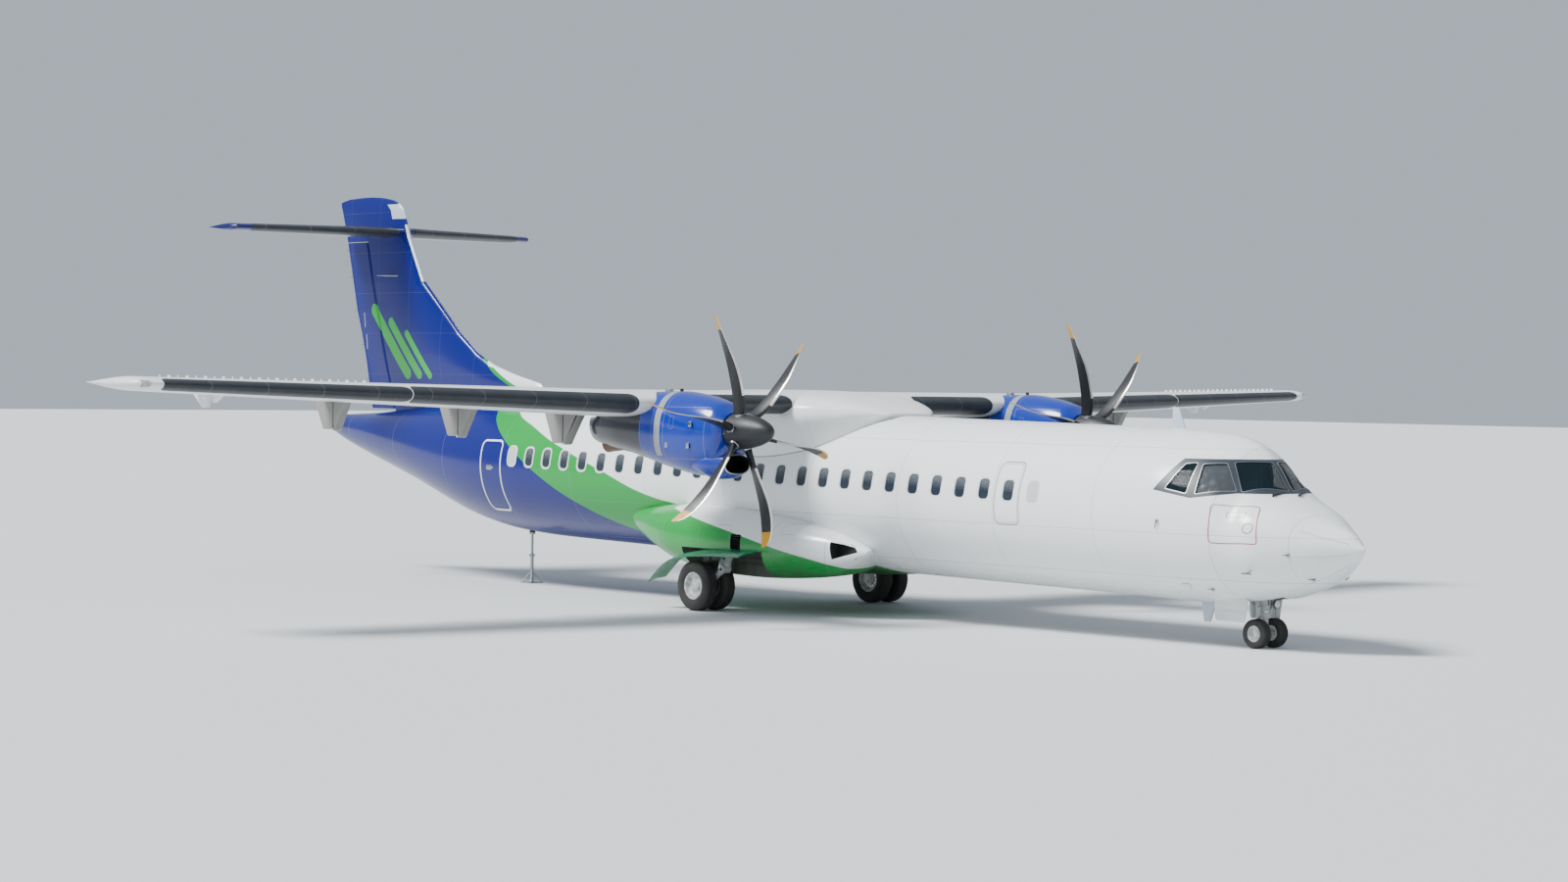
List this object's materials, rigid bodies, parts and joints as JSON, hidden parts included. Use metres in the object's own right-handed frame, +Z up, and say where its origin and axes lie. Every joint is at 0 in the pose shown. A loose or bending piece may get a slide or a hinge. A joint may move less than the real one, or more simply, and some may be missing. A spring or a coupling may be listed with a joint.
{
  "type": "turboprop airliner",
  "caption": "High-wing twin-turboprop airliner with a T-tail, six-bladed propellers, steerable nose gear, side pods for the main gear, opening doors, flaps and control surfaces.",
  "frame": {"origin": "centre of the aircraft's footprint on the ground, midway between nose tip and tail tip and between the wing tips", "axes": "+Z up, nose towards -Y, port wing along +X, starboard wing along -X"},
  "size_m": [27.05, 27.166, 7.61],
  "materials": {
    "painted_white": "gloss aircraft enamel, lightly soiled",
    "painted_green": "gloss aircraft enamel",
    "painted_blue": "gloss aircraft enamel",
    "painted_grey": "semi-gloss enamel",
    "cockpit_glass": "laminated heated glass",
    "cockpit_trim": "matt",
    "seat_cover": "woven",
    "engine_metal": "cast and machined alloy",
    "exhaust_steel": "heat-tinted steel",
    "blade_composite": "painted composite",
    "wheel_alloy": "painted alloy",
    "tyre_rubber": "worn rubber",
    "gear_paint": "enamel on steel",
    "stand_metal": "painted steel tube"
  },
  "bodies": {
    "airframe": {"radome": "painted_white", "fuselage_nose": "painted_white", "fuselage_front": "painted_white", "fuselage_centre": "painted_white", "fuselage_rear": "painted_green", "tail_cone": "painted_blue", "service_door": "painted_green", "cockpit_glazing": "cockpit_glass", "instrument_panel": "cockpit_trim", "pilot_seats": "seat_cover", "wing_centre": "painted_white", "wing_outer_port": "painted_white", "wing_outer_starboard": "painted_white", "wing_fairing": "painted_white", "engine_port": "engine_metal", "engine_starboard": "engine_metal", "nacelle_port": "painted_blue", "nacelle_starboard": "painted_blue", "exhaust_port": "exhaust_steel", "exhaust_starboard": "exhaust_steel", "fin": "painted_blue", "tailplane": "painted_white", "gear_pod_port": "painted_white", "gear_pod_starboard": "painted_white", "main_gear_leg_port": "gear_paint", "main_gear_leg_starboard": "gear_paint", "nose_gear_leg": "gear_paint", "main_gear_door_port": "painted_white", "main_gear_door_starboard": "painted_green", "nose_gear_door_port": "painted_white", "nose_gear_door_starboard": "painted_white", "tail_stand": "stand_metal", "antenna_top": "painted_white", "antenna_belly": "painted_white"},
    "passenger_door": {"passenger_door": "painted_green"},
    "cargo_door": {"cargo_door": "painted_white"},
    "rudder": {"rudder": "painted_blue"},
    "elevator_port": {"elevator_port": "painted_white"},
    "elevator_starboard": {"elevator_starboard": "painted_white"},
    "aileron_port": {"aileron_port": "painted_white"},
    "aileron_starboard": {"aileron_starboard": "painted_white"},
    "flap_inboard_port": {"flap_inboard_port": "painted_grey"},
    "flap_inboard_starboard": {"flap_inboard_starboard": "painted_grey"},
    "flap_outboard_port": {"flap_outboard_port": "painted_grey"},
    "flap_outboard_starboard": {"flap_outboard_starboard": "painted_grey"},
    "propeller_port": {"propeller_port": "blade_composite", "spinner_port": "blade_composite"},
    "propeller_starboard": {"propeller_starboard": "blade_composite", "spinner_starboard": "blade_composite"},
    "main_wheels_port": {"main_wheel_port_rims": "wheel_alloy", "main_wheel_port_tyre_left": "tyre_rubber", "main_wheel_port_tyre_right": "tyre_rubber"},
    "main_wheels_starboard": {"main_wheel_starboard_rims": "wheel_alloy", "main_wheel_starboard_tyre_left": "tyre_rubber", "main_wheel_starboard_tyre_right": "tyre_rubber"},
    "nose_steering": {"nose_steering_strut": "gear_paint"},
    "nose_wheels": {"nose_wheel_rims": "wheel_alloy", "nose_wheel_tyre_left": "tyre_rubber", "nose_wheel_tyre_right": "tyre_rubber"}
  },
  "joints": [
    {"name": "propeller_spin_port", "type": "hinge", "parent": "airframe", "child": "propeller_port", "pos_m": [4.05, -4.159, 3.142], "axis": [0, 1, 0], "continuous": true},
    {"name": "main_wheels_spin_port", "type": "hinge", "parent": "airframe", "child": "main_wheels_port", "pos_m": [2.05, -0.923, 0.43], "axis": [1, 0, 0], "continuous": true},
    {"name": "propeller_spin_starboard", "type": "hinge", "parent": "airframe", "child": "propeller_starboard", "pos_m": [-4.05, -4.159, 3.142], "axis": [0, 1, 0], "continuous": true},
    {"name": "main_wheels_spin_starboard", "type": "hinge", "parent": "airframe", "child": "main_wheels_starboard", "pos_m": [-2.05, -0.923, 0.43], "axis": [1, 0, 0], "continuous": true},
    {"name": "nose_steer", "type": "hinge", "parent": "airframe", "child": "nose_steering", "pos_m": [0, -11.693, 0.6], "axis": [0, 0, 1], "range_deg": [-60, 60]},
    {"name": "nose_wheels_spin", "type": "hinge", "parent": "nose_steering", "child": "nose_wheels", "pos_m": [0, -11.693, 0.225], "axis": [1, 0, 0], "continuous": true},
    {"name": "rudder_hinge", "type": "hinge", "parent": "airframe", "child": "rudder", "pos_m": [0, 11.47578, 3.56], "axis": [0, 0.2695, 0.963], "range_deg": [-27, 27]},
    {"name": "elevator_hinge_port", "type": "hinge", "parent": "airframe", "child": "elevator_port", "pos_m": [0.19, 12.41489, 6.864], "axis": [0.9999, -0.0111, 0], "range_deg": [-15, 25]},
    {"name": "elevator_hinge_starboard", "type": "hinge", "parent": "airframe", "child": "elevator_starboard", "pos_m": [-0.19, 12.41489, 6.864], "axis": [0.9999, 0.0111, 0], "range_deg": [-15, 25]},
    {"name": "aileron_hinge_port", "type": "hinge", "parent": "airframe", "child": "aileron_port", "pos_m": [9.712, -0.2196, 3.69833], "axis": [0.9988, 0.0398, 0.0273], "range_deg": [-14, 14]},
    {"name": "aileron_hinge_starboard", "type": "hinge", "parent": "airframe", "child": "aileron_starboard", "pos_m": [-9.712, -0.2196, 3.69833], "axis": [0.9988, -0.0398, -0.0273], "range_deg": [-14, 14]},
    {"name": "flap_inboard_hinge_port", "type": "hinge", "parent": "airframe", "child": "flap_inboard_port", "pos_m": [4.74, -0.133, 2.86], "axis": [1, 0, 0], "range_deg": [-35, 0]},
    {"name": "flap_outboard_hinge_port", "type": "hinge", "parent": "airframe", "child": "flap_outboard_port", "pos_m": [6.69, -0.103, 2.985], "axis": [0.9988, 0.0164, 0.0452], "range_deg": [-35, 0]},
    {"name": "flap_inboard_hinge_starboard", "type": "hinge", "parent": "airframe", "child": "flap_inboard_starboard", "pos_m": [-4.74, -0.133, 2.86], "axis": [1, 0, 0], "range_deg": [-35, 0]},
    {"name": "flap_outboard_hinge_starboard", "type": "hinge", "parent": "airframe", "child": "flap_outboard_starboard", "pos_m": [-6.69, -0.103, 2.985], "axis": [0.9988, -0.0164, -0.0452], "range_deg": [-35, 0]},
    {"name": "passenger_door_hinge", "type": "hinge", "parent": "airframe", "child": "passenger_door", "pos_m": [0.90525, 6.727, 1.3943], "axis": [-0.1129, 0.9936, 0], "range_deg": [0, 130]},
    {"name": "cargo_door_hinge", "type": "hinge", "parent": "airframe", "child": "cargo_door", "pos_m": [0.98867, -9.683, 2.9357], "axis": [0.0206, 0.9998, 0], "range_deg": [-110, 0]}
  ],
  "couplings": [
    {"joint": "elevator_hinge_starboard", "follows": "elevator_hinge_port", "ratio": 1},
    {"joint": "aileron_hinge_starboard", "follows": "aileron_hinge_port", "ratio": -1},
    {"joint": "flap_inboard_hinge_starboard", "follows": "flap_inboard_hinge_port", "ratio": 1},
    {"joint": "flap_outboard_hinge_port", "follows": "flap_inboard_hinge_port", "ratio": 1},
    {"joint": "flap_outboard_hinge_starboard", "follows": "flap_inboard_hinge_port", "ratio": 1}
  ]
}
